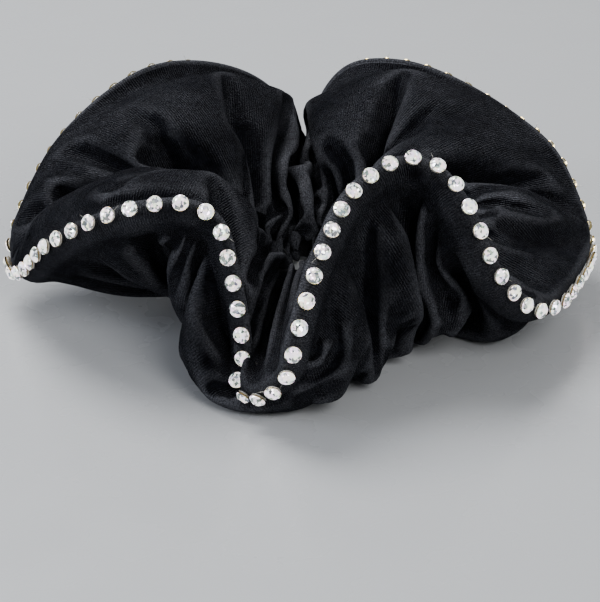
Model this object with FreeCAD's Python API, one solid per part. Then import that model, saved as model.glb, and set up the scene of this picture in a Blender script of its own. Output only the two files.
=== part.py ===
import FreeCAD, Part
import math
import os

# A gathered velvet scrunchie with a line of round crystals along its rim.
#
# A strip of velvet is sewn into a tube round a loop of flat elastic. The tube is far longer than the
# elastic, so it gathers at the inner ring and stands out in a frill. The frill's rim, a soft roll
# where the velvet folds over, rises and falls in four waves. Crystals are glued along the roll.
#
# Millimetres, +Z up, -Y to the front. The origin is on the surface that the scrunchie lies on, at
# the middle of its ring. The loop stretches sideways, so each piece that goes all the way round is
# made as a left and a right half, which part along X at the front and back troughs.

V = FreeCAD.Vector

# The middle of the rim's roll, anticlockwise: the right half from the front trough to the back one,
# then the left half back to the front trough.
FRONT_TROUGH = (-8.5, -58.5, 6.5)
BACK_TROUGH = (2.0, 63.0, 6.0)
RIM_RIGHT = [
    FRONT_TROUGH, (-4.0, -62.5, 11.0), (-0.5, -62.5, 22.0), (3.5, -57.0, 33.5),
    (10.0, -47.0, 42.0), (17.0, -40.0, 46.0), (25.0, -38.5, 46.5), (33.0, -40.0, 42.5),
    (40.5, -41.5, 30.0), (49.0, -37.0, 17.0), (58.0, -25.0, 12.5), (62.5, -9.0, 11.5),
    (62.5, 8.0, 14.0), (57.5, 25.0, 25.0), (46.0, 39.5, 32.0), (31.0, 49.5, 37.0),
    (19.0, 55.0, 37.0), (12.0, 59.0, 29.0), (8.5, 61.5, 17.0), BACK_TROUGH,
]
RIM_LEFT = [
    BACK_TROUGH, (-5.5, 62.0, 17.0), (-10.5, 60.0, 30.0), (-20.0, 55.0, 37.0),
    (-32.0, 46.5, 39.5), (-45.0, 36.0, 37.0), (-56.0, 24.0, 27.0), (-62.0, 9.0, 16.0),
    (-62.5, -6.0, 10.5), (-58.5, -19.0, 17.0), (-50.5, -30.0, 27.5), (-39.0, -38.5, 36.5),
    (-28.0, -42.0, 39.5), (-20.0, -45.5, 34.0), (-16.0, -49.5, 21.0), (-13.0, -53.5, 10.0),
    FRONT_TROUGH,
]

# How far out the lower layer bellies, by direction from the middle in degrees from +X.
BELLY = [
    (-90.0, 60.0), (-60.0, 54.0), (-35.0, 60.0), (0.0, 61.0), (50.0, 54.0), (88.0, 58.0),
    (130.0, 52.0), (180.0, 58.0), (225.0, 47.0), (250.0, 52.0), (270.0, 60.0),
]

# The velvet tube.
WALL = 1.4  # velvet, pile included
ROLL_RADIUS = 4.4  # outside of the rim's soft fold
ROLL_CONTROL = 1.05  # how far outside their smooth curve the roll's control points stand
CASING_RADIUS = 5.4  # outside of the gathered inner edge that holds the elastic
CASING_CONTROL = 1.12  # the same for the casing, whose points are further apart
PUFF = 3.0  # how far the upper layer stands above a straight line from casing to roll
BELLY_HEIGHT = 10.0  # of the belly's widest place, where the rim is high
BELLY_FOOT = 7.0  # how far inside its widest place the belly meets the surface
PRESS = 0.5  # how much the belly flattens where it lies on the surface
STATIONS = 44  # cross-sections along each half

# The elastic loop, lapped and stitched at its ends.
RING_RADIUS = 22.0  # middle of the elastic when relaxed
RING_HEIGHT = 9.0
ELASTIC_WIDTH = 6.0
ELASTIC_THICK = 1.1
ELASTIC_LAP = 10.0
LAP_GAP = 0.05
LAP_ANGLE = 118.0  # where the lap starts, in degrees from +X
LAP_RAMP = 30.0  # degrees over which the outer end steps over the inner one
HALF_GAP = 0.3  # between the halves of a piece
LOOP_RADIUS = 17.0  # the hair hole, where the casing is pressed against what it holds

# Thread.
THREAD_RADIUS = 0.15
THREAD_GAP = 0.25  # between a thread and the velvet or elastic beside it
SEAM_STEP = 6.0  # degrees from stitch to stitch
STITCH_LENGTH = 1.6
CLOSING_STITCHES = 9
CLOSING_ANGLE = 45.0  # middle of the hand-closed gap, in degrees from +X
CLOSING_STEP = 4.5  # degrees
ZIGZAGS = 8
END_SEAM_STATION = 6  # the left half's section where the strip's two ends meet
END_SEAM_STITCHES = 24

# Crystals with a flat foiled back.
CRYSTALS_EACH = 49  # on each half
CRYSTAL_RADIUS = 1.75
CRYSTAL_HEIGHT = 1.6
GIRDLE = 0.35
TABLE_RADIUS = 0.95
FACETS = 8
FOIL_THICK = 0.08
FOIL_RADIUS = 1.6
GLUE_RADIUS = 1.3
GLUE_DEPTH = 0.5  # how far the glue soaks into the pile
GLUE_STAND = 0.2  # how far it holds the foil off the pile
CRYSTAL_TURN = 25.0  # degrees above the horizontal at which a level rim carries its crystals


def belly_radius(azimuth):
    """The belly's reach in a direction, eased between the listed ones."""
    degrees = (math.degrees(azimuth) + 90.0) % 360.0 - 90.0
    for (a, near), (b, far) in zip(BELLY, BELLY[1:]):
        if a <= degrees <= b:
            share = (degrees - a) / (b - a)
            return near + (far - near) * share * share * (3 - 2 * share)


def outline(radius, height, belly):
    """The tube's outside in a radial plane, as (r, z), for a rim at this radius and height."""
    def roll(turn):
        reach = ROLL_RADIUS * ROLL_CONTROL
        turn = math.radians(turn)
        return radius + reach * math.cos(turn), height + reach * math.sin(turn)

    def casing(turn):
        reach = CASING_RADIUS * CASING_CONTROL
        turn = math.radians(turn)
        return RING_RADIUS + reach * math.cos(turn), RING_HEIGHT + reach * math.sin(turn)

    points = [roll(-35), roll(0), roll(CRYSTAL_TURN), roll(60), roll(105)]
    top, start = roll(105), casing(75)
    for share in (0.25, 0.5, 0.75):
        rise = PUFF * 4 * share * (1 - share)
        points.append(tuple(a + (b - a) * share + c for a, b, c in zip(top, start, (0, rise))))
    points += [casing(75), casing(130), casing(180), casing(230), casing(275)]
    foot = belly - BELLY_FOOT
    heel = RING_RADIUS + CASING_RADIUS
    points += [(heel + (foot - heel) * share, -PRESS) for share in (0.1, 0.55, 1.0)]
    low = min(BELLY_HEIGHT, height - ROLL_RADIUS - 1.0)
    if low > BELLY_HEIGHT / 3:
        points.append((belly, low))
    else:
        points.append(((foot + radius) / 2 + 2.0, (height - ROLL_RADIUS) / 2 - PRESS))
    return points


def inset(points, depth):
    """The closed outline moved inwards by depth."""
    count = len(points)
    moved = []
    for i in range(count):
        (ax, ay), (bx, by) = points[i - 1], points[(i + 1) % count]
        length = math.hypot(bx - ax, by - ay)
        moved.append(
            (points[i][0] - (by - ay) / length * depth, points[i][1] + (bx - ax) / length * depth)
        )
    return moved


def closed_curve(points):
    """A smooth closed curve drawn by its control points."""
    curve = Part.BSplineCurve()
    curve.buildFromPoles(points, True, 3)
    return curve


def rim_places(rim, count, margin):
    """Points at even steps along a half's rim, starting margin steps from its end."""
    curve = Part.BSplineCurve()
    curve.interpolate([V(*p) for p in rim])
    step = curve.length() / (count - 1 + 2 * margin)
    places = []
    for i in range(count):
        u = curve.parameterAtDistance(min((i + margin) * step, curve.length()), curve.FirstParameter)
        places.append(curve.value(u))
    return places


class Section:
    """The tube's cross-section in the radial plane through a point of the rim."""

    def __init__(self, rim_point):
        self.azimuth = math.atan2(rim_point.y, rim_point.x)
        self.radius = math.hypot(rim_point.x, rim_point.y)
        self.height = rim_point.z
        self.out = V(math.cos(self.azimuth), math.sin(self.azimuth), 0)

    def points(self, depth):
        flat = outline(self.radius, self.height, belly_radius(self.azimuth))
        if depth:
            flat = inset(flat, depth)
        return [self.out * r + V(0, 0, z) for r, z in flat]

    def on_roll(self, turn):
        turn = math.radians(turn)
        return self.out * (self.radius + ROLL_RADIUS * math.cos(turn)) + V(
            0, 0, self.height + ROLL_RADIUS * math.sin(turn)
        )


def room(side):
    """The room above the surface on one side of the parting, side -1 left or 1 right."""
    size = 200.0
    front = V(FRONT_TROUGH[0], FRONT_TROUGH[1], 0).normalize() * size
    back = V(BACK_TROUGH[0], BACK_TROUGH[1], 0).normalize() * size
    far = V(side * 2 * size, 0, 0)
    corners = [V(), front, front + far, back + far, back, V()]
    face = Part.Face(Part.makePolygon(corners))
    prism = face.extrude(V(0, 0, size))
    prism.translate(V(side * HALF_GAP / 2, 0, 0))
    return prism


def skin(sections, depth):
    """A smooth surface drawn by the sections' points, closed round the tube."""
    poles = [s.points(depth) for s in sections]
    rows = len(poles)
    around = len(poles[0])
    ends = 4  # a cubic surface's end knots are repeated four times
    surface = Part.BSplineSurface()
    surface.buildFromPolesMultsKnots(
        poles,
        [ends] + [1] * (rows - ends) + [ends],
        [1] * (around + 1),
        [float(i) for i in range(rows - ends + 2)],
        [float(i) for i in range(around + 1)],
        False,
        True,
        3,
        3,
    )
    return surface


def tube(sections, depth):
    """The solid inside the skin, with flat ends."""
    caps = []
    for section in (sections[0], sections[-1]):
        edge = closed_curve(section.points(depth)).toShape()
        caps.append(Part.Face(Part.Wire([edge])))
    shell = Part.Shell([skin(sections, depth).toShape()] + caps)
    shell.sewShape()
    solid = Part.Solid(shell)
    if solid.Volume < 0:
        solid.reverse()
    return solid


def make_cover(sections, side):
    """Half of the velvet tube, pressed flat where it lies and round the hair hole, open at its ends."""
    hole = Part.makeCylinder(LOOP_RADIUS, 100.0)
    outside = tube(sections, 0.0).common(room(side)).cut(hole)
    floor = Part.makeBox(400.0, 400.0, 200.0, V(-200.0, -200.0, WALL))
    return outside.cut(tube(sections, WALL).common(floor))


def band_curve(radius, step, end):
    """The elastic's side in plan: a circle that steps out by step at its end, over its start."""
    turns = 72
    points = []
    for i in range(turns + 1):
        degrees = end * i / turns
        rise = min(1.0, max(0.0, (degrees - (360.0 - LAP_RAMP)) / LAP_RAMP))
        r = radius + step * rise * rise * (3 - 2 * rise)
        angle = math.radians(LAP_ANGLE + degrees)
        points.append(V(r * math.cos(angle), r * math.sin(angle), RING_HEIGHT - ELASTIC_WIDTH / 2))
    curve = Part.BSplineCurve()
    curve.interpolate(points)
    return curve


def lap_degrees():
    return math.degrees(ELASTIC_LAP / RING_RADIUS)


def make_elastic():
    """One flat band whose outer end laps over its inner end."""
    step = ELASTIC_THICK + LAP_GAP
    end = 360.0 + lap_degrees()
    inner = band_curve(RING_RADIUS - ELASTIC_THICK / 2, step, end)
    outer = band_curve(RING_RADIUS + ELASTIC_THICK / 2, step, end)
    edges = [
        inner.toShape(),
        Part.makeLine(inner.EndPoint, outer.EndPoint),
        outer.toShape(),
        Part.makeLine(outer.StartPoint, inner.StartPoint),
    ]
    face = Part.Face(Part.Wire(Part.__sortEdges__(edges)))
    return face.extrude(V(0, 0, ELASTIC_WIDTH))


def stitch(start, end):
    return Part.makeCylinder(THREAD_RADIUS, (end - start).Length, start, end - start)


def on_ring(radius, degrees, height=0.0):
    angle = math.radians(degrees)
    return V(radius * math.cos(angle), radius * math.sin(angle), RING_HEIGHT + height)


def make_elastic_stitches():
    """A zigzag over the lap, on the elastic's outer face."""
    radius = RING_RADIUS + 1.5 * ELASTIC_THICK + LAP_GAP + THREAD_RADIUS + THREAD_GAP
    half = ELASTIC_WIDTH / 2 - 1.0
    corners = []
    for i in range(ZIGZAGS + 1):
        degrees = LAP_ANGLE + lap_degrees() * (0.1 + 0.8 * i / ZIGZAGS)
        corners.append(on_ring(radius, degrees, half if i % 2 else -half))
    stitches = []
    for a, b in zip(corners, corners[1:]):
        trim = (b - a).normalize() * (2 * THREAD_RADIUS)
        stitches.append(stitch(a + trim, b - trim))
    return Part.Compound(stitches)


def seam_radius():
    """The long seam runs inside the casing, on its wall nearest the hole."""
    return RING_RADIUS - CASING_RADIUS + WALL + THREAD_RADIUS + THREAD_GAP


def parting_degrees():
    """(front, back) directions of the parting, in degrees from +X."""
    front = math.degrees(math.atan2(FRONT_TROUGH[1], FRONT_TROUGH[0]))
    return front, math.degrees(math.atan2(BACK_TROUGH[1], BACK_TROUGH[0]))


def make_seam_stitches(side):
    """Half of the machine seam that closes the tube, apart from the gap left to turn it."""
    front, back = parting_degrees()
    start, end = (front, back) if side > 0 else (back, front + 360.0)
    count = round((end - start) / SEAM_STEP)
    half = math.degrees(STITCH_LENGTH / 2 / seam_radius())
    gap = CLOSING_STEP * CLOSING_STITCHES / 2
    stitches = []
    for i in range(count):
        degrees = start + (end - start) * (i + 0.5) / count
        if abs(degrees - CLOSING_ANGLE) > gap:
            ends = [on_ring(seam_radius(), degrees + turn) for turn in (-half, half)]
            stitches.append(stitch(*ends))
    return Part.Compound(stitches)


def make_closing_stitches():
    """Slanted hand stitches across the turning gap."""
    stitches = []
    slant = STITCH_LENGTH / 2 / math.sqrt(2)
    turn = math.degrees(slant / seam_radius())
    for i in range(CLOSING_STITCHES):
        degrees = CLOSING_ANGLE + CLOSING_STEP * (i - (CLOSING_STITCHES - 1) / 2)
        low = on_ring(seam_radius(), degrees - turn, -slant)
        high = on_ring(seam_radius(), degrees + turn, slant)
        stitches.append(stitch(low, high))
    return Part.Compound(stitches)


def make_end_seam(section):
    """The seam across the tube, where the strip's two ends meet, just inside the velvet."""
    curve = closed_curve(section.points(WALL + THREAD_RADIUS + 2 * THREAD_GAP))
    length = curve.length()
    stitches = []
    for i in range(END_SEAM_STITCHES):
        u = curve.parameterAtDistance(length * i / END_SEAM_STITCHES, curve.FirstParameter)
        along = V(*curve.tangent(u)[0]).normalize() * (STITCH_LENGTH / 2)
        middle = curve.value(u)
        if middle.z > WALL + 3 * THREAD_RADIUS:
            stitches.append(stitch(middle - along, middle + along))
    return Part.Compound(stitches)


def placed(shape, seat, out, along):
    """A copy of shape, whose +Z is turned to out and its +X to along, moved to seat."""
    across = out.cross(along).normalize()
    along = across.cross(out)
    copy = shape.copy()
    copy.Placement = FreeCAD.Placement(seat, FreeCAD.Rotation(along, across, out, "ZXY"))
    return copy


def polygon(radius, height):
    corners = []
    for i in range(FACETS):
        turn = 2 * math.pi * i / FACETS
        corners.append(V(radius * math.cos(turn), radius * math.sin(turn), height))
    return Part.makePolygon(corners + corners[:1])


def crystal():
    """A flat-backed stone: a short girdle, a ring of slanted facets and a table."""
    base = GLUE_STAND + FOIL_THICK
    girdle = Part.Face(polygon(CRYSTAL_RADIUS, base)).extrude(V(0, 0, GIRDLE))
    low = polygon(CRYSTAL_RADIUS, base + GIRDLE)
    high = polygon(TABLE_RADIUS, base + CRYSTAL_HEIGHT)
    crown = Part.makeLoft([low, high], True, True)
    return girdle.fuse(crown).removeSplitter().Solids[0]


def foil():
    return Part.makeCylinder(FOIL_RADIUS, FOIL_THICK, V(0, 0, GLUE_STAND))


def glue():
    return Part.makeCylinder(GLUE_RADIUS, GLUE_DEPTH + GLUE_STAND, V(0, 0, -GLUE_DEPTH))


def crystal_seats(rim, surface):
    """(seat on the velvet, outward, along the rim) for each crystal of a half."""
    places = [Section(p) for p in rim_places(rim, CRYSTALS_EACH, 0.5)]
    points = []
    outward = []
    for here in places:
        u, v = surface.parameter(here.on_roll(CRYSTAL_TURN))
        points.append(surface.value(u, v))
        normal = surface.normal(u, v)
        outward.append(normal if normal.dot(here.out) > 0 else normal * -1.0)
    seats = []
    for i, point in enumerate(points):
        along = points[min(i + 1, len(points) - 1)] - points[max(i - 1, 0)]
        seats.append((point, outward[i], along.normalize()))
    return seats


def half_nodes(name, rim, side):
    """The pieces, by node name, of which each half has its own share."""
    sections = [Section(p) for p in rim_places(rim, STATIONS, 0)]
    seats = crystal_seats(rim, skin(sections, 0.0))
    return {
        "velvet_cover_" + name: make_cover(sections, side),
        "elastic_band_" + name: make_elastic().common(room(side)),
        "long_seam_stitches_" + name: make_seam_stitches(side),
        "crystals_" + name: Part.Compound([placed(crystal(), *seat) for seat in seats]),
        "crystal_foils_" + name: Part.Compound([placed(foil(), *seat) for seat in seats]),
        "crystal_glue_" + name: Part.Compound([placed(glue(), *seat) for seat in seats]),
    }


def main():
    os.makedirs("parts", exist_ok=True)
    nodes = half_nodes("right", RIM_RIGHT, 1)
    nodes.update(half_nodes("left", RIM_LEFT, -1))
    end_section = Section(rim_places(RIM_LEFT, STATIONS, 0)[END_SEAM_STATION])
    nodes["closing_stitches"] = make_closing_stitches()
    nodes["elastic_join_stitches"] = make_elastic_stitches()
    nodes["end_seam_stitches"] = make_end_seam(end_section)
    for name, shape in nodes.items():
        box = shape.BoundBox
        print("%-26s solids %3d valid %s" % (name, len(shape.Solids), shape.isValid()), end=" ")
        print("volume %6.0f x %.1f to %.1f" % (shape.Volume, box.XMin, box.XMax), end=" ")
        print("y %.1f to %.1f z %.2f to %.2f" % (box.YMin, box.YMax, box.ZMin, box.ZMax))
        shape.exportStep("parts/%s.step" % name)


main()
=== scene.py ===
import math
import random

import bpy
import bmesh
import numpy as np
from mathutils import Matrix, Vector


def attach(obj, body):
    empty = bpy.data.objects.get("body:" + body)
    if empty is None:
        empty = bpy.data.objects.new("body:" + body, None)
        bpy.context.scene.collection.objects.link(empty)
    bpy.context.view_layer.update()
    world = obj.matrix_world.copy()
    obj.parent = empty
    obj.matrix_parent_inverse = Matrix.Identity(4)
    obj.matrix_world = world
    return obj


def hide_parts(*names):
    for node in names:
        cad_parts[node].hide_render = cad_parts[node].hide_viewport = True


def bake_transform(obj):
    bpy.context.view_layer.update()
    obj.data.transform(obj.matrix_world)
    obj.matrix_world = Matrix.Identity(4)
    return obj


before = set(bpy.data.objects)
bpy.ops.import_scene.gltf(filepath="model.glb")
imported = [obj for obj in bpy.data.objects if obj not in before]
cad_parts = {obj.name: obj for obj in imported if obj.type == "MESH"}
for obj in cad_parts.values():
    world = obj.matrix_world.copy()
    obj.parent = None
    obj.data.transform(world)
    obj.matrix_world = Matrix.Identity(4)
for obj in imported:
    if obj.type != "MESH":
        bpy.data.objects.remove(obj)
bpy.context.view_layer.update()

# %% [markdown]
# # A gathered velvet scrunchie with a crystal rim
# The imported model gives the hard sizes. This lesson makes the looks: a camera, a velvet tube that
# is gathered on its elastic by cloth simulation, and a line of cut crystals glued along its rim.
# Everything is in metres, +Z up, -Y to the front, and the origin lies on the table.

# %% [markdown]
# ## Camera
# The view looks along +Y and 25 degrees down, from rather close. There are no cords.

# %% Camera
CAMERA_TARGET = Vector((-0.0005, 0.0041, -0.0021))
CAMERA_DISTANCE = 0.5665
CAMERA_TILT = math.radians(25)
CAMERA_LENS = 144.7
CAMERA_SENSOR = 36.0

camera_data = bpy.data.cameras.new("camera")
camera_data.lens = CAMERA_LENS
camera_data.sensor_width = CAMERA_SENSOR
camera_data.clip_start = 0.01
camera = bpy.data.objects.new("camera", camera_data)
bpy.context.collection.objects.link(camera)
toward_camera = Vector((0, -math.cos(CAMERA_TILT), math.sin(CAMERA_TILT)))
camera.location = CAMERA_TARGET + toward_camera * CAMERA_DISTANCE
camera.rotation_euler = (-toward_camera).to_track_quat("-Z", "Y").to_euler()
bpy.context.scene.camera = camera

# %% [markdown]
# ## Sizes
# The cover is one strip of velour sewn into a tube. Its length goes once round the rim, and its
# width goes once round the tube. The rim's line is where the crystals sit, in millimetres: it falls
# to the table at the front, rises over a steep arch on each side of that, and waves on round the
# back.

# %% Sizes
MM = 0.001
STRIP_LENGTH = 0.530
TUBE_ROUND = 0.124
VELVET_THICK = 0.0009  # the knit without its pile
RING_RADIUS = 0.022
RING_HEIGHT = 0.0095
RING_TIP = 0.005  # the ring stands this much higher at the front and lower at the back
CASING_RADIUS = 0.0052  # of the gathered inner edge round the elastic
ROLL_RADIUS = 0.0046  # of the soft fold along the rim
CRYSTAL_ANGLE = math.radians(28)  # above the roll's outermost line
ROLL_TILT = math.radians(36)  # how far the roll turns down from the line ring to rim
BACK_TILT = math.radians(50)  # and how much further at the back
BACK_DROP = 0.0005  # how far the rim's line is lowered at the back
BACK_BLEND = 0.05  # the depth over which the front's roll turns into the back's
GATHERS = 38  # round the ring

RIM_LINE = [
    (-12.6, -50.8, 15.8), (-12.4, -50.8, 9.5), (-13.8, -53.0, 5.6), (-12.4, -57.0, 5.0),
    (-9.4, -61.8, 6.6), (-6.5, -65.2, 9.4), (-3.4, -67.2, 14.0), (-2.0, -68.0, 19.6),
    (0.5, -63.9, 28.8), (4.7, -54.6, 38.1), (10.8, -43.3, 45.3), (21.1, -35.0, 48.9),
    (29.4, -36.1, 46.9), (35.6, -41.7, 39.1), (40.7, -44.3, 27.8), (48.9, -39.2, 16.5),
    (56.2, -29.9, 13.4), (61.3, -17.5, 13.1), (65.4, -4.1, 12.4), (66.5, 9.3, 11.8),
    (65.4, 17.5, 15.5), (59.2, 26.8, 26.8), (47.9, 41.2, 31.9), (35.6, 48.4, 37.1),
    (24.2, 53.5, 39.1), (12.9, 59.7, 36.1), (6.0, 63.8, 26.8), (3.8, 66.5, 15.5),
    (1.5, 67.5, 9.0), (-1.2, 65.9, 15.5), (-5.7, 64.9, 24.7), (-13.9, 60.8, 33.0),
    (-25.2, 52.5, 39.1), (-36.6, 43.2, 41.2), (-46.9, 36.0, 37.1), (-56.1, 28.8, 29.9),
    (-62.3, 18.5, 22.7), (-66.4, 6.2, 14.4), (-66.4, -4.1, 10.3), (-62.3, -14.4, 14.4),
    (-54.1, -28.9, 27.3), (-39.6, -38.6, 38.1), (-25.9, -41.2, 41.5), (-18.0, -42.8, 38.1),
    (-14.9, -46.4, 28.8),
]

# %% [markdown]
# ## Materials
# Colours are written as sRGB hex and turned linear. One small function adds a shader node with its
# settings and links.

# %% Colour and node helpers
def linear(hex_colour):
    """An sRGB hex colour as linear RGBA."""
    parts = [int(hex_colour[i : i + 2], 16) / 255 for i in (1, 3, 5)]
    return [c / 12.92 if c <= 0.04045 else ((c + 0.055) / 1.055) ** 2.4 for c in parts] + [1.0]


def add(tree, kind, settings=None, stops=(), **inputs):
    """Adds a node with its settings and links.

    An input is a value, an output socket, or a node, which stands for its first output. In its
    name an underscore stands for a space, and n0 is input number 0. The stops are a colour ramp's
    (position, grey) pairs.
    """
    node = tree.nodes.new("ShaderNode" + kind)
    for name, value in (settings or {}).items():
        setattr(node, name, value)
    for i, (position, grey) in enumerate(stops):
        element = node.color_ramp.elements[i] if i < 2 else node.color_ramp.elements.new(position)
        element.position = position
        element.color = (grey, grey, grey, 1)
    for name, value in inputs.items():
        numbered = name[0] == "n" and name[1:].isdigit()
        socket = node.inputs[int(name[1:]) if numbered else name.replace("_", " ")]
        if isinstance(value, bpy.types.Node):
            value = value.outputs[0]
        if isinstance(value, bpy.types.NodeSocket):
            tree.links.new(value, socket)
        else:
            socket.default_value = value
    return node


def new_material(name):
    """(material, its empty node tree)"""
    material = bpy.data.materials.new(name)
    material.use_nodes = True
    material.node_tree.nodes.clear()
    return material, material.node_tree


MULTIPLY_ADD = {"operation": "MULTIPLY_ADD"}  # n0 * n1 + n2
MIX_COLOURS = {"data_type": "RGBA"}  # share n0 from colour n6 to colour n7, out of output 2

# %% [markdown]
# Velour is a knit: fine ribs run across the strip, and a short dense pile stands on them. The pile
# swallows light head on, and a painted sheen lightens its colour where it is seen along the cloth,
# so each fold has a painted light edge.
# The UV map is in strip millimetres, so the ribs keep their pitch wherever the cloth goes.

# %% Velvet
RIB_PITCH_MM = 0.6
RIB_WAVER = 5.0  # radians by which the ribs wander
WAVER_PER_MM = 0.35
PILE_PER_M = 2600.0  # tufts of pile
CLUMP_PER_M = 480.0  # where the pile has parted
STROKE_PER_M = 70.0  # where it was brushed one way or the other
PILE_RELIEF, CLUMP_RELIEF, RIB_RELIEF = 1.9, 1.6, 0.22  # shares of the depth below
PILE_DEPTH = 0.0005
VELVET_DEEP = linear("#050508")
VELVET_WORN = linear("#101116")
# the colour of the painted sheen where the cloth is seen edge on
VELVET_PAINTED_SHEEN = linear("#a8aab4")
VELVET_SHEEN = linear("#d5d7dc")


def velvet_material():
    material, tree = new_material("black_knitted_velour")
    uv = add(tree, "UVMap", {"uv_map": "strip_mm"})
    place = add(tree, "TexCoord").outputs["Object"]
    along = add(tree, "SeparateXYZ", Vector=uv)
    waver = add(tree, "TexNoise", Vector=uv, Scale=WAVER_PER_MM, Detail=2.0)
    phase = add(tree, "Math", MULTIPLY_ADD, n0=along, n1=2 * math.pi / RIB_PITCH_MM, n2=0.0)
    phase = add(tree, "Math", MULTIPLY_ADD, n0=waver, n1=RIB_WAVER, n2=phase)
    rib = add(tree, "Math", {"operation": "SINE"}, n0=phase)
    pile = add(tree, "TexNoise", Vector=place, Scale=PILE_PER_M, Detail=3.0, Roughness=0.8)
    clump = add(tree, "TexNoise", Vector=place, Scale=CLUMP_PER_M, Detail=4.0, Roughness=0.65)
    stroke = add(tree, "TexNoise", Vector=place, Scale=STROKE_PER_M, Detail=4.0, Roughness=0.6)
    height = add(tree, "Math", MULTIPLY_ADD, n0=pile, n1=PILE_RELIEF, n2=0.0)
    height = add(tree, "Math", MULTIPLY_ADD, n0=rib, n1=RIB_RELIEF, n2=height)
    height = add(tree, "Math", MULTIPLY_ADD, n0=clump, n1=CLUMP_RELIEF, n2=height)
    bump = add(tree, "Bump", Height=height, Strength=1.0, Distance=PILE_DEPTH)

    # Painted sheen where the cloth is seen edge on, broken up by the brushing, the tufts and the
    # ribs.
    edge = add(tree, "LayerWeight", Blend=0.5, Normal=bump).outputs["Facing"]
    rise = add(tree, "Math", MULTIPLY_ADD, n0=rib, n1=0.5, n2=0.5)
    painted_sheen = add(
        tree, "ValToRGB", stops=[(0.0, 0.0), (0.66, 0.01), (0.85, 0.2), (1.0, 1.0)], Fac=edge,
    )
    for pattern, stops in (
        (stroke, [(0.34, 0.3), (0.66, 1.0)]),
        (pile, [(0.35, 0.15), (0.65, 1.0)]),
        (rise, [(0.0, 0.55), (1.0, 1.0)]),
    ):
        share = add(tree, "ValToRGB", stops=stops, Fac=pattern)
        painted_sheen = add(tree, "Math", MULTIPLY_ADD, n0=painted_sheen, n1=share, n2=0.0)

    # A painted highlight: a paler line along the crest of each fold, broken up by the tufts.
    bend = add(tree, "NewGeometry").outputs["Pointiness"]
    painted_crest_highlight = add(tree, "ValToRGB", stops=[(0.516, 0.0), (0.55, 0.24)], Fac=bend)
    crest_highlight_breakup = add(tree, "ValToRGB", stops=[(0.35, 0.1), (0.65, 1.0)], Fac=pile)
    painted_sheen = add(tree, "Math", MULTIPLY_ADD, n0=painted_crest_highlight, n1=crest_highlight_breakup, n2=painted_sheen)
    worn = add(tree, "ValToRGB", stops=[(0.42, 0.0), (0.62, 1.0)], Fac=clump)
    ground = add(tree, "Mix", MIX_COLOURS, n0=worn, n6=VELVET_DEEP, n7=VELVET_WORN).outputs[2]
    # The painted sheen and the painted crest highlight lighten the base colour.
    colour = add(tree, "Mix", MIX_COLOURS, n0=painted_sheen, n6=ground, n7=VELVET_PAINTED_SHEEN).outputs[2]
    surface = add(
        tree, "BsdfPrincipled", Base_Color=colour, Roughness=1.0, Normal=bump,
        Specular_IOR_Level=0.0, Sheen_Weight=0.012, Sheen_Roughness=0.45, Sheen_Tint=VELVET_SHEEN,
    )
    add(tree, "OutputMaterial", Surface=surface)
    return material


velvet = velvet_material()

# %% [markdown]
# The crystals are clear cut glass on a mirror foil. The light that the foil throws back out through
# the facets is painted: each facet is a painted bright or dark glint with a tint of its own, and it
# glows. The foil's lacquer is gold where it shows at the edge. The glue is a clear set acrylic. The
# thread is spun polyester, and the elastic is a flat braid.

# %% Crystal, foil, glue, thread and elastic
GLASS_IOR = 1.56
GLUE_IOR = 1.47
BACK_FACETS_PER_M = 1500.0
FACET_TILT = 1.1  # the range of a back facet's lean, against a surface normal of 1
PAINTED_FIRE_TINT = 0.3
CRINKLE_PER_M = 1500.0
GLUE_RIPPLE_PER_M = 1200.0
PLY_PER_M = 1800.0
BRAID_MM = 0.9
FOIL_PALE = linear("#ead79c")
FOIL_GOLD = linear("#cf9f45")
GLUE_CLEAR = linear("#eceae2")
THREAD_BLACK = linear("#0d0d10")
ELASTIC_BLACK = linear("#141416")


def crystal_material():
    """Cut glass on a mirror foil: the back facets show as painted bright and dark glints that glow.
    """
    material, tree = new_material("foil_backed_cut_crystal")
    place = add(tree, "TexCoord").outputs["Object"]
    cells = add(
        tree, "TexVoronoi", {"distance": "MANHATTAN"}, Vector=place, Scale=BACK_FACETS_PER_M,
    ).outputs["Color"]
    tilt = add(
        tree, "VectorMath", MULTIPLY_ADD,
        n0=cells, n1=[FACET_TILT] * 3, n2=[-FACET_TILT / 2] * 3,
    )
    normal = add(tree, "NewGeometry").outputs["Normal"]
    facing = add(tree, "VectorMath", {"operation": "ADD"}, n0=normal, n1=tilt)
    inner = add(tree, "VectorMath", {"operation": "NORMALIZE"}, n0=facing)
    # Painted sparkle: each facet's cell is made bright or dark and tinted, and is both base colour
    # and glow.
    spark = add(tree, "SeparateColor", Color=cells)
    shade = add(
        tree, "ValToRGB", stops=[(0.1, 0.1), (0.3, 0.35), (0.42, 0.9), (1.0, 1.0)], Fac=spark,
    )
    painted_sparkle = add(
        tree, "Mix", MIX_COLOURS | {"blend_type": "MULTIPLY"}, n0=PAINTED_FIRE_TINT, n6=shade, n7=cells,
    ).outputs[2]
    surface = add(
        tree, "BsdfPrincipled", Base_Color=painted_sparkle, Metallic=0.75, Roughness=0.12, Normal=inner,
        Coat_Weight=0.35, Coat_Roughness=0.02, Coat_IOR=GLASS_IOR,
        Emission_Color=painted_sparkle, Emission_Strength=2.0,
    )
    add(tree, "OutputMaterial", Surface=surface)
    return material


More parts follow.
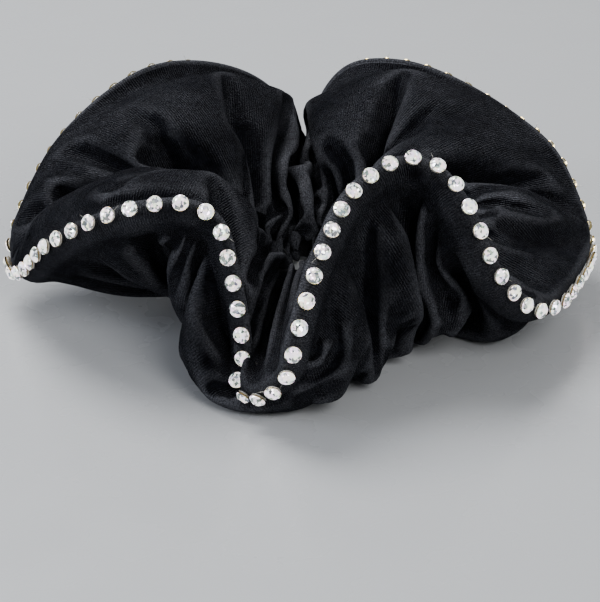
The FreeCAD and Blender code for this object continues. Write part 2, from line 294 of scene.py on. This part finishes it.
def foil_material():
    material, tree = new_material("gold_lacquered_mirror_foil")
    place = add(tree, "TexCoord").outputs["Object"]
    crinkle = add(tree, "TexNoise", Vector=place, Scale=CRINKLE_PER_M, Detail=2.0)
    bump = add(tree, "Bump", Height=crinkle, Strength=0.3, Distance=0.00005)
    facing = add(tree, "LayerWeight", Blend=0.35).outputs["Facing"]
    colour = add(tree, "Mix", MIX_COLOURS, n0=facing, n6=FOIL_PALE, n7=FOIL_GOLD).outputs[2]
    surface = add(
        tree, "BsdfPrincipled", Base_Color=colour, Metallic=1.0, Roughness=0.12, Normal=bump,
    )
    add(tree, "OutputMaterial", Surface=surface)
    return material


def glue_material():
    material, tree = new_material("clear_acrylic_glue")
    place = add(tree, "TexCoord").outputs["Object"]
    ripple = add(tree, "TexNoise", Vector=place, Scale=GLUE_RIPPLE_PER_M, Detail=2.0)
    bump = add(tree, "Bump", Height=ripple, Strength=0.4, Distance=0.0001)
    surface = add(
        tree, "BsdfPrincipled", Base_Color=GLUE_CLEAR, Roughness=0.12, IOR=GLUE_IOR,
        Transmission_Weight=0.7, Normal=bump,
    )
    add(tree, "OutputMaterial", Surface=surface)
    return material


def thread_material():
    material, tree = new_material("black_spun_polyester_thread")
    place = add(tree, "TexCoord").outputs["Object"]
    ply = add(
        tree, "TexWave", {"bands_direction": "DIAGONAL"},
        Vector=place, Scale=PLY_PER_M, Distortion=1.0,
    ).outputs["Fac"]
    bump = add(tree, "Bump", Height=ply, Strength=0.6, Distance=0.00008)
    surface = add(
        tree, "BsdfPrincipled", Base_Color=THREAD_BLACK, Roughness=0.5, Normal=bump,
        Sheen_Weight=0.2,
    )
    add(tree, "OutputMaterial", Surface=surface)
    return material


def elastic_material():
    """Flat braid: chevrons that meet along the middle of the band."""
    material, tree = new_material("black_braided_elastic")
    uv = add(tree, "UVMap", {"uv_map": "strip_mm"})
    strip = add(tree, "SeparateXYZ", Vector=uv)
    away = add(tree, "Math", {"operation": "ABSOLUTE"}, n0=strip.outputs["Y"])
    slant = add(tree, "Math", {"operation": "ADD"}, n0=strip.outputs["X"], n1=away)
    turn = add(tree, "Math", MULTIPLY_ADD, n0=slant, n1=2 * math.pi / BRAID_MM, n2=0.0)
    braid = add(tree, "Math", {"operation": "SINE"}, n0=turn)
    bump = add(tree, "Bump", Height=braid, Strength=0.7, Distance=0.0001)
    surface = add(
        tree, "BsdfPrincipled", Base_Color=ELASTIC_BLACK, Roughness=0.8, Normal=bump,
        Specular_IOR_Level=0.2,
    )
    add(tree, "OutputMaterial", Surface=surface)
    return material


crystal_glass = crystal_material()
foil = foil_material()
glue = glue_material()
thread = thread_material()
elastic = elastic_material()

# %% [markdown]
# ## The rim's line and the roll's frame
# A smooth closed curve through the rim's points is cut into one step for each column of the cloth.
# Each step gets the direction that the roll faces, which is the line from the ring to the rim
# turned down a little, because the cloth between them is longer than that line and arches.

# %% Rim columns
COLUMNS = 212
ROWS = 48
CURVE_STEPS = 24


def smooth_loop(points):
    """A closed Catmull-Rom curve through points, as many short steps."""
    knots = np.array(points)
    count = len(knots)
    steps = []
    for i in range(count):
        a, b, c, d = knots[i - 1], knots[i], knots[(i + 1) % count], knots[(i + 2) % count]
        for k in range(CURVE_STEPS):
            t = k / CURVE_STEPS
            even = 2 * b + (2 * a - 5 * b + 4 * c - d) * t * t
            steps.append(0.5 * (even + (c - a) * t + (3 * b - 3 * c + d - a) * t**3))
    return np.array(steps)


def even_steps(loop, count):
    """count points at even distances along a closed loop, and its length."""
    closed = np.vstack([loop, loop[:1]])
    travelled = np.concatenate([[0], np.cumsum(np.linalg.norm(np.diff(closed, axis=0), axis=1))])
    wanted = np.arange(count) * travelled[-1] / count
    columns = [np.interp(wanted, travelled, closed[:, axis]) for axis in range(3)]
    return np.stack(columns, axis=1), travelled[-1]


def unit(vectors):
    return vectors / np.linalg.norm(vectors, axis=-1, keepdims=True)


rim, rim_length = even_steps(smooth_loop(RIM_LINE) * MM, COLUMNS)
rim_azimuth = np.unwrap(np.arctan2(rim[:, 1], rim[:, 0]))
even_azimuth = rim_azimuth[0] + 2 * np.pi * np.arange(COLUMNS) / COLUMNS
even_azimuth += np.mean(rim_azimuth - even_azimuth)
ring_azimuth = (rim_azimuth + even_azimuth) / 2
ring_out = np.stack([np.cos(ring_azimuth), np.sin(ring_azimuth), np.zeros(COLUMNS)], axis=1)
ring = ring_out * RING_RADIUS
ring[:, 2] = RING_HEIGHT - RING_TIP * ring_out[:, 1]

rim_along = unit(np.roll(rim, -1, axis=0) - np.roll(rim, 1, axis=0))
reach = rim - ring
reach = unit(reach - rim_along * np.sum(reach * rim_along, axis=1, keepdims=True))
above = np.cross(reach, rim_along)
at_back = np.clip(rim[:, 1:2] / BACK_BLEND + 0.5, 0, 1)
rim[:, 2:] -= BACK_DROP * at_back
tilt = ROLL_TILT + BACK_TILT * at_back
roll_out = reach * np.cos(tilt) - above * np.sin(tilt)
roll_up = above * np.cos(tilt) + reach * np.sin(tilt)
print("rim length %.0f mm for a strip of %.0f mm" % (rim_length / MM, STRIP_LENGTH / MM))

# %% [markdown]
# ## The cloth before it is gathered
# The tube starts as it is sewn: a flat double band standing on edge in a circle of the strip's full
# length, so every edge of the mesh starts at its true size. Row 0 is the rim's line of crystals.

# %% Ungathered tube
SCALE = 10.0  # the solver works best on metre-sized cloth, so it works ten times larger
HALF_BAND = 0.0024  # half the flat band's thickness
BAND_FOOT = 0.006  # the band starts this far above the table
ROW_STEP = TUBE_ROUND / ROWS


def band_section(distance):
    """(height, inward offset) on the flat tube's outline, from its top over its inner side."""
    bend = math.pi * HALF_BAND / 2
    side = (TUBE_ROUND - 4 * bend) / 2
    top = side + 2 * HALF_BAND
    distance %= TUBE_ROUND
    if distance < bend:
        turn = distance / HALF_BAND
        return top - HALF_BAND + HALF_BAND * math.cos(turn), HALF_BAND * math.sin(turn)
    distance -= bend
    if distance < side:
        return top - HALF_BAND - distance, HALF_BAND
    distance -= side
    if distance < 2 * bend:
        turn = distance / HALF_BAND
        return HALF_BAND - HALF_BAND * math.sin(turn), HALF_BAND * math.cos(turn)
    distance -= 2 * bend
    if distance < side:
        return HALF_BAND + distance, -HALF_BAND
    turn = (distance - side) / HALF_BAND
    return top - HALF_BAND + HALF_BAND * math.sin(turn), -HALF_BAND * math.cos(turn)


flat = np.zeros((COLUMNS, ROWS, 3))
band_radius = STRIP_LENGTH / (2 * math.pi)
for column in range(COLUMNS):
    turn = rim_azimuth[0] + 2 * math.pi * column / COLUMNS
    for row in range(ROWS):
        height, inward = band_section(row * ROW_STEP)
        radius = band_radius - inward
        flat[column, row] = radius * math.cos(turn), radius * math.sin(turn), BAND_FOOT + height

# %% [markdown]
# ## Where the cloth is held
# The rows of the roll are led to the rim's line. At the ring, each gather's column is drawn tight
# round the elastic's casing, and the cloth between two gathers is free to buckle. The lower layer
# gets a larger share of the tube at the front, where it bellies down to the table, and the upper
# layer gets a larger share at the back, where it lies in loose folds.

# %% Held points
ROLL_ROWS = range(-3, 2)  # rows held as the roll; the crystals sit nearer its upper edge
CASING_ROWS = 3
FRONT_SHARE = 11  # rows that go from the upper layer to the lower one, at the front
FRONT_DIRECTION = math.radians(-70)
FRONT_FOCUS = 8  # how narrow the front is
SLACK_SHARE = 4  # rows that go the other way where the upper layer is loose, at the back
SLACK_LEFT = math.radians(160)
SLACK_RIGHT = math.radians(55)
SLACK_FOCUS = 3
GATHER_WANDER = 0.25  # how far a gather may stray from its even place, in gathers
SEED = 7
TABLE_TOUCH = 0.0004  # the lowest that a held point may be

held = flat.copy()
held_points = set()
for row in ROLL_ROWS:
    turn = CRYSTAL_ANGLE + row * ROW_STEP / ROLL_RADIUS
    across = roll_out * (math.cos(turn) - math.cos(CRYSTAL_ANGLE))
    upward = roll_up * (math.sin(turn) - math.sin(CRYSTAL_ANGLE))
    held[:, row % ROWS] = rim + ROLL_RADIUS * (across + upward)
    held_points.update((column, row % ROWS) for column in range(COLUMNS))


def ring_row(column):
    """The row of the cloth that lies innermost at the ring."""
    def lean(direction, focus):
        return (0.5 + 0.5 * math.cos(ring_azimuth[column] - direction)) ** focus

    front = FRONT_SHARE * lean(FRONT_DIRECTION, FRONT_FOCUS)
    slack = SLACK_SHARE * (lean(SLACK_LEFT, SLACK_FOCUS) + lean(SLACK_RIGHT, SLACK_FOCUS))
    return ROWS // 2 - round(front - slack)


chance = random.Random(SEED)
for gather in range(GATHERS):
    wandered = gather + chance.uniform(-GATHER_WANDER, GATHER_WANDER)
    column = round(wandered * COLUMNS / GATHERS) % COLUMNS
    for step in range(-CASING_ROWS, CASING_ROWS + 1):
        turn = math.pi + step * ROW_STEP / CASING_RADIUS
        row = ring_row(column) + step
        around = ring_out[column] * math.cos(turn) + np.array([0, 0, math.sin(turn)])
        held[column, row] = ring[column] + CASING_RADIUS * around
        held_points.add((column, row))
held[:, :, 2] = np.maximum(held[:, :, 2], TABLE_TOUCH)

# %% [markdown]
# ## Gathering the cloth
# A shape key leads the held points from the flat band to the gathered shape while the rest of the
# cloth follows by simulation, with the table under it and a little air held in the tube.

# %% Cloth simulation
GATHER_FRAMES = 30
SETTLE_FRAMES = 22
TABLE_CLEARANCE = 0.0011  # that the solver keeps between cloth and table
TABLE_SIZE = 8.0  # in the solver's larger scale, as the next two are
TABLE_SKIN = 0.004
CLOTH_GAP = 0.009
CLOTH = {
    "quality": 5, "mass": 0.2, "air_damping": 2.0,
    "tension_stiffness": 40, "compression_stiffness": 40,
    "shear_stiffness": 8, "bending_stiffness": 3.5,
    "tension_damping": 8, "compression_damping": 8, "shear_damping": 5, "bending_damping": 0.6,
    "use_pressure": True, "uniform_pressure_force": 15.0,
}
CONTACT = {
    "distance_min": 0.008, "use_self_collision": True, "self_distance_min": CLOTH_GAP,
    "self_friction": 4, "collision_quality": 3,
}


def vertex(column, row):
    return (column % COLUMNS) * ROWS + row % ROWS


QUADS = [
    (vertex(c, r), vertex(c + 1, r), vertex(c + 1, r + 1), vertex(c, r + 1))
    for c in range(COLUMNS)
    for r in range(ROWS)
]


def gathered_cloth():
    """The cloth's points after gathering, as (column, row, xyz) in metres."""
    mesh = bpy.data.meshes.new("gathering")
    mesh.from_pydata((flat * SCALE).reshape(-1, 3).tolist(), [], QUADS)
    cloth = bpy.data.objects.new("gathering", mesh)
    bpy.context.collection.objects.link(cloth)
    cloth.shape_key_add(name="flat")
    key = cloth.shape_key_add(name="held")
    key.data.foreach_set("co", (held * SCALE).reshape(-1))
    for value, frame_number in ((0.0, 1), (1.0, GATHER_FRAMES)):
        key.value = value
        key.keyframe_insert("value", frame=frame_number)
    pins = cloth.vertex_groups.new(name="held")
    pins.add([vertex(*point) for point in sorted(held_points)], 1.0, "REPLACE")

    bpy.ops.mesh.primitive_plane_add(size=TABLE_SIZE)
    table = bpy.context.object
    table.modifiers.new("collision", "COLLISION")
    table.location.z = -TABLE_CLEARANCE * SCALE
    table.collision.thickness_outer = TABLE_SKIN

    modifier = cloth.modifiers.new("cloth", "CLOTH")
    for name, value in CLOTH.items():
        setattr(modifier.settings, name, value)
    for name, value in CONTACT.items():
        setattr(modifier.collision_settings, name, value)
    modifier.settings.vertex_group_mass = "held"
    last = GATHER_FRAMES + SETTLE_FRAMES
    modifier.point_cache.frame_start = 1
    modifier.point_cache.frame_end = last
    scene = bpy.context.scene
    for frame_number in range(1, last + 1):
        scene.frame_set(frame_number)
    evaluated = cloth.evaluated_get(bpy.context.evaluated_depsgraph_get()).to_mesh()
    points = np.empty(len(evaluated.vertices) * 3)
    evaluated.vertices.foreach_get("co", points)
    for thing in (cloth, table):
        bpy.data.objects.remove(thing)
    scene.frame_set(1)
    return points.reshape(COLUMNS, ROWS, 3) / SCALE


cloth = gathered_cloth()
across_columns = np.linalg.norm(np.roll(cloth, -1, axis=0) - cloth, axis=2)
across_rows = np.linalg.norm(np.roll(cloth, -1, axis=1) - cloth, axis=2)
print("column step %.2f mm" % (across_columns.mean() / MM))
print("row step %.2f mm" % (across_rows.mean() / MM))
print("cloth from", cloth.min(axis=(0, 1)) / MM, "to", cloth.max(axis=(0, 1)) / MM)

# %% [markdown]
# ## The cover
# The gathered points become the cover's mesh, with a UV map in strip millimetres for the ribs. It
# is subdivided once and given the velvet's thickness on its inner side.

# %% Cover mesh
def cover_mesh():
    mesh = bpy.data.meshes.new("velvet_cover")
    mesh.from_pydata(cloth.reshape(-1, 3).tolist(), [], QUADS)
    layer = mesh.uv_layers.new(name="strip_mm")
    column_mm = STRIP_LENGTH / COLUMNS / MM
    row_mm = ROW_STEP / MM
    corners = ((0, 0), (1, 0), (1, 1), (0, 1))
    number = 0
    for c in range(COLUMNS):
        for r in range(ROWS):
            for dc, dr in corners:
                layer.data[number].uv = ((c + dc) * column_mm, (r + dr) * row_mm)
                number += 1
    mesh.update()
    return mesh


cover = bpy.data.objects.new("velvet_cover", cover_mesh())
bpy.context.collection.objects.link(cover)


def apply_modifiers(piece):
    """Replaces the piece's mesh by what its modifiers make of it."""
    shaped = piece.evaluated_get(bpy.context.evaluated_depsgraph_get())
    made = bpy.data.meshes.new_from_object(shaped)
    piece.modifiers.clear()
    piece.data = made
    for polygon in made.polygons:
        polygon.use_smooth = True


smoother = cover.modifiers.new("smoother", "SUBSURF")
smoother.levels = smoother.render_levels = 1
smoother.uv_smooth = "NONE"
apply_modifiers(cover)
lining = cover.modifiers.new("thickness", "SOLIDIFY")
lining.thickness = VELVET_THICK
lining.offset = -1
apply_modifiers(cover)
cover.data.materials.clear()
cover.data.materials.append(velvet)
print("cover faces", len(cover.data.polygons))

# %% [markdown]
# ## The crystals
# Crystals sit along row 0 of the cloth at even distances. Each stands on its glue on the cover's
# surface and faces out along its normal. A crystal has a brilliant-cut crown and a shallow faceted
# back, the foil is a thin cup behind it, and the glue is a small dot that grips the pile.

# %% Seats
CRYSTALS = 98
CRYSTAL_RADIUS = 0.00175
GLUE_STAND = 0.00025  # how far the glue holds the crystal off the cloth


def surface_normals(points):
    """Outward unit normals of the (column, row) grid."""
    along = np.roll(points, -1, axis=0) - np.roll(points, 1, axis=0)
    around = np.roll(points, -1, axis=1) - np.roll(points, 1, axis=1)
    return unit(np.cross(along, around))


normals = surface_normals(cloth)
if np.sum(normals[:, 0] * roll_out) < 0:
    normals = -normals
line_columns = cloth[:, 0]
seats = even_steps(line_columns, CRYSTALS)[0]


def near_column(point):
    """(nearest column, the line's direction there) for a seat."""
    column = int(np.argmin(np.linalg.norm(line_columns - point, axis=1)))
    direction = line_columns[(column + 1) % COLUMNS] - line_columns[column - 1]
    return column, Vector(direction).normalized()


def seat_matrix(point, out, along):
    """A frame whose +Z leaves the cloth and whose +X runs along the rim."""
    side = out.cross(along).normalized()
    forward = side.cross(out)
    return Matrix.Translation(point) @ Matrix((forward, side, out)).transposed().to_4x4()


# %% [markdown]
# The crown is cut like a small brilliant: a table, eight star points, and sixteen corners at the
# girdle.

# %% Crystal, foil and glue shapes
TABLE_RADIUS = 0.0009
STAR_RADIUS = 0.0012
CROWN_HEIGHT = 0.00075
STAR_HEIGHT = 0.00058
GIRDLE_HEIGHT = 0.00018
BACK_DEPTH = 0.00055
BACK_RADIUS = CRYSTAL_RADIUS * 0.62
CUTS = 8
FOIL_THICK = 0.00004
FOIL_EDGE = 0.00003  # how far the foil's rim stands out past the girdle
GLUE_SIDES = 16
GLUE_PROFILE = [  # (radius, height)
    (0, -0.0004), (0.0011, -0.0003), (0.00165, -0.00012), (0.0015, 0.0001), (0.0011, 0.0002),
    (0, 0.0002),
]
TUBE_SIDES = 6
STRING_LENGTH = 0.0021
STRING_LEAN = math.radians(80)  # from the crystal's axis, so nearly flat
STRING_SHARE = 0.45  # how many of the crystals have a stray string of glue


def circle(radius, height, count, turn=0.0):
    step = 2 * math.pi / count
    return [
        (radius * math.cos(turn + i * step), radius * math.sin(turn + i * step), height)
        for i in range(count)
    ]


def crystal_shape():
    """A cut crown, a girdle and a shallow cone of back facets, from its hull."""
    half = math.pi / CUTS
    base = BACK_DEPTH
    rings = circle(TABLE_RADIUS, base + GIRDLE_HEIGHT + CROWN_HEIGHT, CUTS)
    rings += circle(STAR_RADIUS, base + GIRDLE_HEIGHT + STAR_HEIGHT, CUTS, half)
    rings += circle(CRYSTAL_RADIUS, base + GIRDLE_HEIGHT, 2 * CUTS)
    rings += circle(CRYSTAL_RADIUS, base, 2 * CUTS)
    rings += circle(BACK_RADIUS, 0.0, CUTS, half)
    shape = bmesh.new()
    for point in rings:
        shape.verts.new(point)
    bmesh.ops.convex_hull(shape, input=shape.verts)
    bmesh.ops.dissolve_limit(shape, angle_limit=0.01, verts=shape.verts, edges=shape.edges)
    bmesh.ops.recalc_face_normals(shape, faces=shape.faces)
    return shape


def lathe(profile, count):
    """A closed shape turned from (radius, height) points that start and end on the axis."""
    shape = bmesh.new()
    loops = []
    for radius, height in profile:
        places = circle(radius, height, count) if radius else [(0, 0, height)]
        loops.append([shape.verts.new(place) for place in places])
    for low, high in zip(loops, loops[1:]):
        for i in range(count):
            corners = [low[i % len(low)], low[(i + 1) % len(low)]]
            corners += [high[(i + 1) % len(high)], high[i % len(high)]]
            shape.faces.new(list(dict.fromkeys(corners)))
    bmesh.ops.recalc_face_normals(shape, faces=shape.faces)
    return shape


def foil_shape():
    """A thin faceted cup that follows the crystal's back."""
    outer = CRYSTAL_RADIUS + FOIL_EDGE
    floor_height = 0.00001 - FOIL_THICK / 2
    return lathe(
        [(0, -FOIL_THICK), (BACK_RADIUS, -FOIL_THICK), (outer, BACK_DEPTH - FOIL_THICK),
         (outer, BACK_DEPTH), (outer - FOIL_THICK, BACK_DEPTH), (BACK_RADIUS, floor_height),
         (0, -FOIL_THICK / 2)],
        2 * CUTS,
    )


def glue_shape():
    """A dot that swells out from under the crystal."""
    return lathe(GLUE_PROFILE, GLUE_SIDES)


def glue_string():
    """A stray hair of glue that lies out along the pile."""
    profile = [(0, 0), (0.00007, 0.0001), (0.00004, STRING_LENGTH * 0.7), (0, STRING_LENGTH)]
    shape = lathe(profile, TUBE_SIDES)
    shape.transform(Matrix.Rotation(STRING_LEAN, 4, "Y"))
    shape.transform(Matrix.Translation((CRYSTAL_RADIUS * 0.9, 0, 0.0001)))
    return shape


def mesh_piece(name, shapes, material, smooth=False):
    """One object from (bmesh maker, matrix) pairs."""
    whole = bpy.data.meshes.new(name)
    gathered = bmesh.new()
    for maker, matrix in shapes:
        shape = maker()
        shape.transform(matrix)
        part = bpy.data.meshes.new("part")
        shape.to_mesh(part)
        shape.free()
        gathered.from_mesh(part)
        bpy.data.meshes.remove(part)
    gathered.to_mesh(whole)
    gathered.free()
    for polygon in whole.polygons:
        polygon.use_smooth = smooth
    whole.materials.append(material)
    piece = bpy.data.objects.new(name, whole)
    bpy.context.collection.objects.link(piece)
    return piece


# %% [markdown]
# ## What moves
# The loop stretches along X. Crystals wholly left of the middle ride with the left half and those
# wholly right of it with the right half; the cover and the crystals in the middle stay where they
# lie.
# Each keeps its shape.

# %% Stretch shares
STRETCH_ZONE = 0.024  # half the width of the middle, where a piece rides with neither half
LEFT, RIGHT = "left_half", "right_half"
LEFT_SIDE, RIGHT_SIDE = "left", "right"


def ride_with_cover(piece, x):
    """The piece keeps its shape and rides with the left or the right half by x, or stays put in the
    middle.
    """
    place = (x + STRETCH_ZONE) / (2 * STRETCH_ZONE)
    if place <= 0:
        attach(piece, LEFT)
    elif place >= 1:
        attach(piece, RIGHT)
    else:
        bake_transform(piece)


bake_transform(cover)
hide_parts("velvet_cover_left", "velvet_cover_right")

# %% Crystals along the rim
groups = {}
for number, point in enumerate(seats):
    column, along = near_column(point)
    out = Vector(normals[column, 0])
    foot = Vector(point) + out * GLUE_STAND
    spin = Matrix.Rotation(chance.uniform(0, math.pi), 4, "Z")
    seat = seat_matrix(foot, out, along) @ spin
    place = (foot.x + STRETCH_ZONE) / (2 * STRETCH_ZONE)
    side = LEFT_SIDE if place <= 0 else RIGHT_SIDE if place >= 1 else "%02d" % number
    group = groups.setdefault(side, {"x": foot.x, "crystals": [], "foils": [], "glue": []})
    group["crystals"].append((crystal_shape, seat))
    group["foils"].append((foil_shape, seat))
    group["glue"].append((glue_shape, seat))
    if chance.random() < STRING_SHARE:
        group["glue"].append((glue_string, seat))

KINDS = (
    ("crystals", "crystals", crystal_glass, "clear_crystal", False),
    ("foils", "crystal_foils", foil, "stone_foil", False),
    ("glue", "crystal_glue", glue, "clear_glue", True),
)
for side, group in groups.items():
    for kind, node, material, slot, smooth in KINDS:
        piece = mesh_piece("rim_%s_%s" % (kind, side), group[kind], material, smooth)
        ride_with_cover(piece, group["x"])
        if side in (LEFT_SIDE, RIGHT_SIDE):
            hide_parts(node + "_" + side)

# %% [markdown]
# ## Elastic and thread
# The elastic lies inside the gathered casing, its ends lapped and joined by a zigzag. The long seam
# follows the ring on the cover's inner side. Whip stitches close the gap where the elastic went in,
# and one seam round the tube joins the strip's two ends.

# %% Elastic
ELASTIC_WIDTH = 0.006
ELASTIC_THICK = 0.0011
LAP_GAP = 0.00005
LAP_LENGTH = 0.010
LAP_START = math.radians(118)
LAP_RAMP = math.radians(30)  # over which the outer end steps over the inner one
ELASTIC_STEPS = 150
LAP = LAP_LENGTH / RING_RADIUS


def on_ring(angle, radius, lift=0.0):
    """A point by direction from the middle, on the tilted plane of the ring."""
    height = RING_HEIGHT - RING_TIP * math.sin(angle) + lift
    return radius * math.cos(angle), radius * math.sin(angle), height


def elastic_mesh():
    points, quads, place = [], [], []
    turn = 2 * math.pi + LAP
    for step in range(ELASTIC_STEPS + 1):
        angle = turn * step / ELASTIC_STEPS
        over = min(max((angle - 2 * math.pi + LAP_RAMP) / LAP_RAMP, 0), 1)
        middle = RING_RADIUS + over * (ELASTIC_THICK + LAP_GAP)
        for side, up in ((-1, -1), (1, -1), (1, 1), (-1, 1)):
            radius = middle + side * ELASTIC_THICK / 2
            points.append(on_ring(LAP_START + angle, radius, up * ELASTIC_WIDTH / 2))
            place.append((angle * RING_RADIUS / MM, up * ELASTIC_WIDTH / 2 / MM))
    for step in range(ELASTIC_STEPS):
        for i in range(4):
            a, b = 4 * step + i, 4 * step + (i + 1) % 4
            quads.append((a, b, b + 4, a + 4))
    last = 4 * ELASTIC_STEPS
    quads += [(3, 2, 1, 0), (last, last + 1, last + 2, last + 3)]
    mesh = bpy.data.meshes.new("elastic")
    mesh.from_pydata(points, [], quads)
    layer = mesh.uv_layers.new(name="strip_mm")
    for loop in mesh.loops:
        layer.data[loop.index].uv = place[loop.vertex_index]
    mesh.materials.append(elastic)
    mesh.update()
    return mesh


def stretch_along(piece, slot, *nodes):
    """The piece is fixed where it lies and stands for these nodes of the model, which are hidden.
    """
    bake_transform(piece)
    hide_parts(*nodes)


band = bpy.data.objects.new("elastic_loop", elastic_mesh())
bpy.context.collection.objects.link(band)
stretch_along(band, "elastic_braid", "elastic_band_left", "elastic_band_right")

# %% Thread
THREAD_RADIUS = 0.00015
STITCH_SHARE = 0.64  # how much of each step its stitch covers
SEAM_DEPTH = VELVET_THICK + 0.0003
CLOSING_STITCHES = 9
CLOSING_MIDDLE = math.radians(45)
CLOSING_STEP = math.radians(4.5)
ZIGZAGS = 8
ZIGZAG_HALF = 0.0022
END_SEAM_DIRECTION = math.radians(100)


def stitch_shape(start, end):
    """A maker for one straight stitch from start to end."""
    length = (end - start).length
    place = Matrix.Translation(start) @ (end - start).to_track_quat("Z", "Y").to_matrix().to_4x4()
    r, tip = THREAD_RADIUS, THREAD_RADIUS * 0.8
    shoulder = THREAD_RADIUS * 0.4
    profile = [(0, 0), (tip, 0), (r, shoulder), (r, length - shoulder), (tip, length), (0, length)]
    return (lambda: lathe(profile, TUBE_SIDES)), place


def under(column, row, depth):
    """A point of the cloth, moved to its inner side by depth, or outwards if depth is negative."""
    column, row = column % COLUMNS, row % ROWS
    return Vector(cloth[column, row] - normals[column, row] * depth)


def part_way(start, end):
    return stitch_shape(start, start.lerp(end, STITCH_SHARE))


def column_toward(direction):
    away = np.angle(np.exp(1j * (ring_azimuth - direction)))
    return int(np.argmin(np.abs(away)))


seam = []
for column in range(COLUMNS):
    row = ring_row(column)
    seam.append(part_way(under(column, row, SEAM_DEPTH), under(column + 1, row, SEAM_DEPTH)))
closing = []
for number in range(CLOSING_STITCHES):
    direction = CLOSING_MIDDLE + (number - CLOSING_STITCHES // 2) * CLOSING_STEP
    column = column_toward(direction)
    row = ring_row(column)
    closing.append(
        stitch_shape(under(column, row - 1, -THREAD_RADIUS), under(column, row + 1, -THREAD_RADIUS))
    )
zigzag = []
outermost = RING_RADIUS + 1.5 * ELASTIC_THICK + LAP_GAP + THREAD_RADIUS
for number in range(ZIGZAGS):
    ends = []
    for step in (number, number + 1):
        angle = LAP_START + LAP * (0.1 + 0.8 * step / ZIGZAGS)
        ends.append(Vector(on_ring(angle, outermost, ZIGZAG_HALF * (-1) ** step)))
    zigzag.append(stitch_shape(*ends))
end_column = column_toward(END_SEAM_DIRECTION)
end_seam = [
    part_way(under(end_column, row, SEAM_DEPTH), under(end_column, row + 1, SEAM_DEPTH))
    for row in range(0, ROWS, 2)
]
THREADS = (
    ("seam_thread", seam, ("long_seam_stitches_left", "long_seam_stitches_right")),
    ("closing_thread", closing, ("closing_stitches",)),
    ("elastic_thread", zigzag, ("elastic_join_stitches",)),
    ("end_seam_thread", end_seam, ("end_seam_stitches",)),
)
for name, shapes, nodes in THREADS:
    stretch_along(mesh_piece(name, shapes, thread, True), "black_thread", *nodes)

# %% [markdown]
# ## Table and light
# A plain pale table and three large soft lamps in a pale room: one above and behind to light the
# folds' edges, one to the front right and one low on the left.

# %% Stage
FLOOR_SIZE = 6.0
TABLE_GRAIN_PER_M = 60.0
TABLE_COLOUR = linear("#b9bbbd")
ROOM_COLOUR = linear("#c9ccd0")
ROOM_LIGHT = 0.55


def floor_material():
    material, tree = new_material("pale_table_top")
    place = add(tree, "TexCoord").outputs["Object"]
    grain = add(tree, "TexNoise", Vector=place, Scale=TABLE_GRAIN_PER_M, Detail=3.0)
    smooth = add(tree, "ValToRGB", stops=[(0.3, 0.24), (0.7, 0.3)], Fac=grain)
    surface = add(tree, "BsdfPrincipled", Base_Color=TABLE_COLOUR, Roughness=smooth)
    add(tree, "OutputMaterial", Surface=surface)
    return material


bpy.ops.mesh.primitive_plane_add(size=FLOOR_SIZE)
floor = bpy.context.object
floor.name = "floor"
floor.data.materials.append(floor_material())


def lamp(name, place, size, power, colour="#ffffff", target=(0, 0, 0.02)):
    data = bpy.data.lights.new(name, "AREA")
    data.shape = "DISK"
    data.size = size
    data.energy = power
    data.color = linear(colour)[:3]
    light = bpy.data.objects.new(name, data)
    light.location = place
    light.rotation_euler = (Vector(target) - Vector(place)).to_track_quat("-Z", "Y").to_euler()
    bpy.context.collection.objects.link(light)
    return light


key_light = lamp("key_lamp", (-0.25, 0.35, 0.75), 0.5, 9.0)
front_light = lamp("front_lamp", (0.35, -0.7, 0.6), 0.5, 6.0)
side_light = lamp("side_lamp", (-0.8, -0.2, 0.35), 0.4, 3.5, "#eef3ff")
world = bpy.data.worlds.new("room")
world.use_nodes = True
background = world.node_tree.nodes["Background"]
background.inputs["Color"].default_value = ROOM_COLOUR
background.inputs["Strength"].default_value = ROOM_LIGHT
bpy.context.scene.world = world
